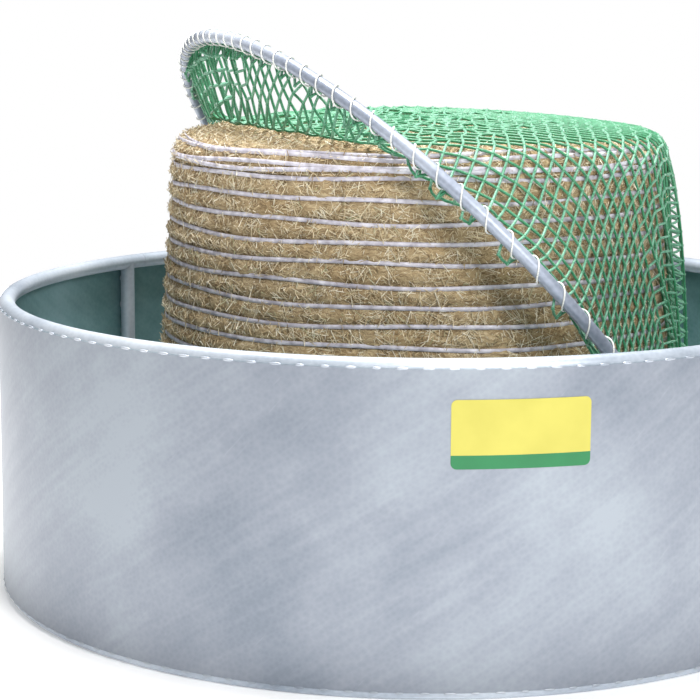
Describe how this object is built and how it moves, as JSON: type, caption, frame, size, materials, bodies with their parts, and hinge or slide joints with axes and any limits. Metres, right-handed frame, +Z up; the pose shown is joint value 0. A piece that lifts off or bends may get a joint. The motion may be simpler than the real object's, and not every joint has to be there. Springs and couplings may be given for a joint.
{
  "type": "round bale feeder",
  "caption": "Round galvanised sheet drum feeder on tube hoops, holding a wrapped hay bale under a slow-feed hay net laced to a loose tube ring.",
  "frame": {"origin": "on the ground on the drum's axis, at the underside of the base tube", "axes": "+Z up along the drum's axis, -Y towards the labelled side, +X to its right"},
  "size_m": [2.2818, 2.2818, 1.512],
  "materials": {
    "galvanised_sheet": "hot-dip galvanised",
    "galvanised_tube": "hot-dip galvanised",
    "galvanised_ring": "dull galvanised",
    "label_film": "printed film",
    "hay": "pressed hay",
    "wrap_net": "knitted net wrap",
    "net_twine": "braided twine",
    "edge_rope": "braided rope",
    "lacing_cord": "braided cord"
  },
  "bodies": {
    "drum": {"wall_sheet_left": "galvanised_sheet", "wall_sheet_right": "galvanised_sheet", "rim_tube_left": "galvanised_tube", "rim_tube_right": "galvanised_tube", "rim_sleeves": "galvanised_tube", "base_tube_left": "galvanised_tube", "base_tube_right": "galvanised_tube", "base_sleeves": "galvanised_tube", "label_plate": "label_film", "hay_bale": "hay", "bale_wrap": "wrap_net", "post_1": "galvanised_tube", "post_2": "galvanised_tube", "post_3": "galvanised_tube", "post_4": "galvanised_tube", "post_5": "galvanised_tube", "post_6": "galvanised_tube"},
    "net": {"hay_net": "net_twine"},
    "net_frame": {"net_ring_tube": "galvanised_ring", "net_ring_sleeve": "galvanised_ring", "net_edge_rope": "edge_rope", "net_lacing": "lacing_cord"}
  },
  "joints": [
    {"name": "net_frame_lift", "type": "slide", "parent": "drum", "child": "net", "axis": [0, 0, 1], "range_m": [0, 1.3]},
    {"name": "net_frame_tilt", "type": "hinge", "parent": "net", "child": "net_frame", "pos_m": [0.29925, 0.14018, 0.53157], "axis": [-0.4242, 0.9056, 0], "range_deg": [-48.4, 0]}
  ]
}
